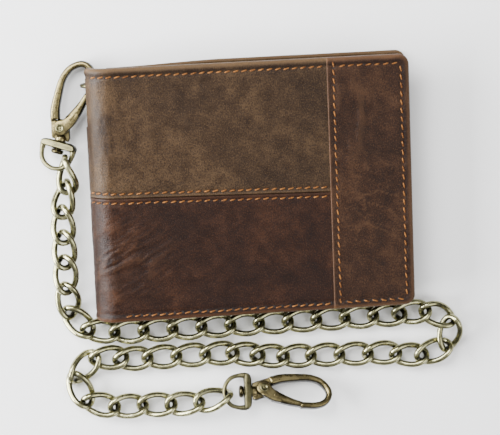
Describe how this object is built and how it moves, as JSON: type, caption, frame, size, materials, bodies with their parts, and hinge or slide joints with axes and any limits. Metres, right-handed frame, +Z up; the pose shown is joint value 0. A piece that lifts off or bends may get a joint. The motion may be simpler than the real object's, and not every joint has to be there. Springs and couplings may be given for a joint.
{
  "type": "chain wallet",
  "caption": "Bifold leather wallet, closed, with a ring in the fold for one swivel snap hook and a curb chain to a second snap hook for a belt loop.",
  "frame": {"origin": "middle of the wallet's back face, which lies on the floor", "axes": "+Z up out of the closed wallet, +X from the spine to the free edge, +Y to the top edge"},
  "size_m": [0.1583, 0.1382, 0.0173],
  "materials": {
    "shell_leather": "matte",
    "lower_leather": "matte",
    "inner_leather": "matte",
    "antique_brass": "polished",
    "dark_brass": "satin"
  },
  "bodies": {
    "back_cover": {"back_cover_panel": "shell_leather", "back_lining": "inner_leather", "back_card_pockets": "inner_leather", "ring_keeper_strap": "inner_leather"},
    "spine": {"spine_leather": "shell_leather"},
    "front_cover": {"front_upper_panel": "shell_leather", "front_lower_panel": "lower_leather", "front_side_strip": "shell_leather", "front_lining": "inner_leather", "front_card_pockets": "inner_leather"},
    "ring": {"keeper_ring": "dark_brass"},
    "hook_a": {"hook_a_body": "antique_brass", "hook_a_rivet": "dark_brass"},
    "gate_a": {"hook_a_gate": "antique_brass"},
    "eye_a": {"hook_a_swivel_eye": "dark_brass"},
    "chain_run_1": {"chain_link_01": "antique_brass"},
    "chain_run_2": {"chain_link_02": "antique_brass", "chain_link_03": "antique_brass"},
    "chain_run_3": {"chain_link_04": "antique_brass", "chain_link_05": "antique_brass"},
    "chain_run_4": {"chain_link_06": "antique_brass"},
    "chain_run_5": {"chain_link_07": "antique_brass"},
    "chain_row_1": {"chain_link_08": "antique_brass", "chain_link_09": "antique_brass", "chain_link_10": "antique_brass", "chain_link_11": "antique_brass", "chain_link_12": "antique_brass", "chain_link_13": "antique_brass", "chain_link_14": "antique_brass", "chain_link_15": "antique_brass", "chain_link_16": "antique_brass", "chain_link_17": "antique_brass", "chain_link_18": "antique_brass", "chain_link_19": "antique_brass"},
    "chain_bend_1": {"chain_link_20": "antique_brass"},
    "chain_bend_2": {"chain_link_21": "antique_brass"},
    "chain_bend_3": {"chain_link_22": "antique_brass"},
    "chain_row_2": {"chain_link_23": "antique_brass", "chain_link_24": "antique_brass", "chain_link_25": "antique_brass", "chain_link_26": "antique_brass", "chain_link_27": "antique_brass", "chain_link_28": "antique_brass", "chain_link_29": "antique_brass", "chain_link_30": "antique_brass", "chain_link_31": "antique_brass", "chain_link_32": "antique_brass", "chain_link_33": "antique_brass", "chain_link_34": "antique_brass"},
    "chain_bend_4": {"chain_link_35": "antique_brass"},
    "chain_bend_5": {"chain_link_36": "antique_brass"},
    "chain_bend_6": {"chain_link_37": "antique_brass"},
    "chain_row_3": {"chain_link_38": "antique_brass"},
    "chain_row_4": {"chain_link_39": "antique_brass"},
    "chain_row_5": {"chain_link_40": "antique_brass"},
    "chain_row_6": {"chain_link_41": "antique_brass"},
    "eye_b": {"hook_b_swivel_eye": "dark_brass"},
    "hook_b": {"hook_b_body": "antique_brass", "hook_b_rivet": "dark_brass"},
    "gate_b": {"hook_b_gate": "antique_brass"}
  },
  "joints": [
    {"name": "spine_lean", "type": "hinge", "parent": "back_cover", "child": "spine", "pos_m": [-0.05135, 0, 0], "axis": [0, 1, 0], "range_deg": [-8, 0]},
    {"name": "cover_fold", "type": "hinge", "parent": "spine", "child": "front_cover", "pos_m": [-0.05135, 0, 0.01715], "axis": [0, 1, 0], "range_deg": [-180, 0]},
    {"name": "ring_turn", "type": "hinge", "parent": "back_cover", "child": "ring", "pos_m": [-0.0573, 0.0405, 0.0051], "axis": [0, 1, 0], "continuous": true},
    {"name": "hook_a_swing", "type": "hinge", "parent": "back_cover", "child": "hook_a", "pos_m": [-0.06085, 0.0405, 0.0051], "axis": [0, 0, 1], "range_deg": [-7, 0]},
    {"name": "hook_a_gate_turn", "type": "hinge", "parent": "hook_a", "child": "gate_a", "pos_m": [-0.06939, 0.02514, 0.00474], "axis": [-0.1803, 0.1195, 0.9763], "range_deg": [0, 20], "stiffness_Nm_per_rad": 0.008, "springref_deg": -28.65},
    {"name": "hook_a_swivel", "type": "hinge", "parent": "hook_a", "child": "eye_a", "pos_m": [-0.0699, 0.0206, 0.0052], "axis": [0.3001, 0.9519, -0.061], "range_deg": [-12, 0]},
    {"name": "link_01_turn", "type": "hinge", "parent": "eye_a", "child": "chain_run_1", "pos_m": [-0.06844, 0.0133, 0.00861], "axis": [0, 0, 1], "range_deg": [-4, 0]},
    {"name": "link_02_turn", "type": "hinge", "parent": "chain_run_1", "child": "chain_run_2", "pos_m": [-0.0682, 0.00319, 0.00634], "axis": [0, 0, 1], "range_deg": [-6, 0]},
    {"name": "link_04_turn", "type": "hinge", "parent": "chain_run_2", "child": "chain_run_3", "pos_m": [-0.0705, -0.0158, 0.00625], "axis": [0, 0, 1], "range_deg": [-6, 0]},
    {"name": "link_06_turn", "type": "hinge", "parent": "chain_run_3", "child": "chain_run_4", "pos_m": [-0.0706, -0.0348, 0.0062], "axis": [0, 0, 1], "range_deg": [-6, 0]},
    {"name": "link_07_turn", "type": "hinge", "parent": "chain_run_4", "child": "chain_run_5", "pos_m": [-0.0696, -0.0457, 0.0033], "axis": [0, 0, 1], "range_deg": [-6, 0]},
    {"name": "link_08_turn", "type": "hinge", "parent": "chain_run_5", "child": "chain_row_1", "pos_m": [-0.0641, -0.0517, 0.0041], "axis": [0, 0, 1], "range_deg": [-4, 0]},
    {"name": "link_20_turn", "type": "hinge", "parent": "chain_row_1", "child": "chain_bend_1", "pos_m": [0.06617, -0.05277, 0.00436], "axis": [0, 0, 1], "range_deg": [0, 8]},
    {"name": "link_21_turn", "type": "hinge", "parent": "chain_bend_1", "child": "chain_bend_2", "pos_m": [0.07616, -0.05733, 0.00426], "axis": [0, 0, 1], "range_deg": [0, 8]},
    {"name": "link_22_turn", "type": "hinge", "parent": "chain_bend_2", "child": "chain_bend_3", "pos_m": [0.07455, -0.06788, 0.00309], "axis": [0, 0, 1], "range_deg": [0, 8]},
    {"name": "link_23_turn", "type": "hinge", "parent": "chain_bend_3", "child": "chain_row_2", "pos_m": [0.06444, -0.07092, 0.00292], "axis": [0, 0, 1], "range_deg": [0, 6]},
    {"name": "link_35_turn", "type": "hinge", "parent": "chain_row_2", "child": "chain_bend_4", "pos_m": [-0.06163, -0.06319, 0.00291], "axis": [0, 0, 1], "range_deg": [-8, 0]},
    {"name": "link_36_turn", "type": "hinge", "parent": "chain_bend_4", "child": "chain_bend_5", "pos_m": [-0.0696, -0.07024, 0.00358], "axis": [0, 0, 1], "range_deg": [-8, 0]},
    {"name": "link_37_turn", "type": "hinge", "parent": "chain_bend_5", "child": "chain_bend_6", "pos_m": [-0.06534, -0.07998, 0.00418], "axis": [0, 0, 1], "range_deg": [-8, 0]},
    {"name": "link_38_turn", "type": "hinge", "parent": "chain_bend_6", "child": "chain_row_3", "pos_m": [-0.05497, -0.08294, 0.00395], "axis": [0, 0, 1], "range_deg": [-8, 0]},
    {"name": "link_39_turn", "type": "hinge", "parent": "chain_row_3", "child": "chain_row_4", "pos_m": [-0.04409, -0.08291, 0.00338], "axis": [0, 0, 1], "range_deg": [-8, 0]},
    {"name": "link_40_turn", "type": "hinge", "parent": "chain_row_4", "child": "chain_row_5", "pos_m": [-0.0333, -0.08335, 0.00414], "axis": [0, 0, 1], "range_deg": [-8, 0]},
    {"name": "link_41_turn", "type": "hinge", "parent": "chain_row_5", "child": "chain_row_6", "pos_m": [-0.02253, -0.08318, 0.00507], "axis": [0, 0, 1], "range_deg": [-4, 0]},
    {"name": "hook_b_eye_turn", "type": "hinge", "parent": "chain_row_6", "child": "eye_b", "pos_m": [-0.01176, -0.08069, 0.00551], "axis": [0, 0, 1], "range_deg": [-4, 0]},
    {"name": "hook_b_swivel", "type": "hinge", "parent": "eye_b", "child": "hook_b", "pos_m": [-0.0021, -0.0801, 0.00495], "axis": [0.9988, -0.0489, 0], "range_deg": [-25, 60]},
    {"name": "hook_b_gate_turn", "type": "hinge", "parent": "hook_b", "child": "gate_b", "pos_m": [0.00243, -0.07953, 0.00453], "axis": [0.0229, 0.4689, 0.8829], "range_deg": [0, 20], "stiffness_Nm_per_rad": 0.008, "springref_deg": -28.65}
  ],
  "couplings": [
    {"joint": "spine_lean", "follows": "cover_fold", "ratio": 0.0444}
  ]
}
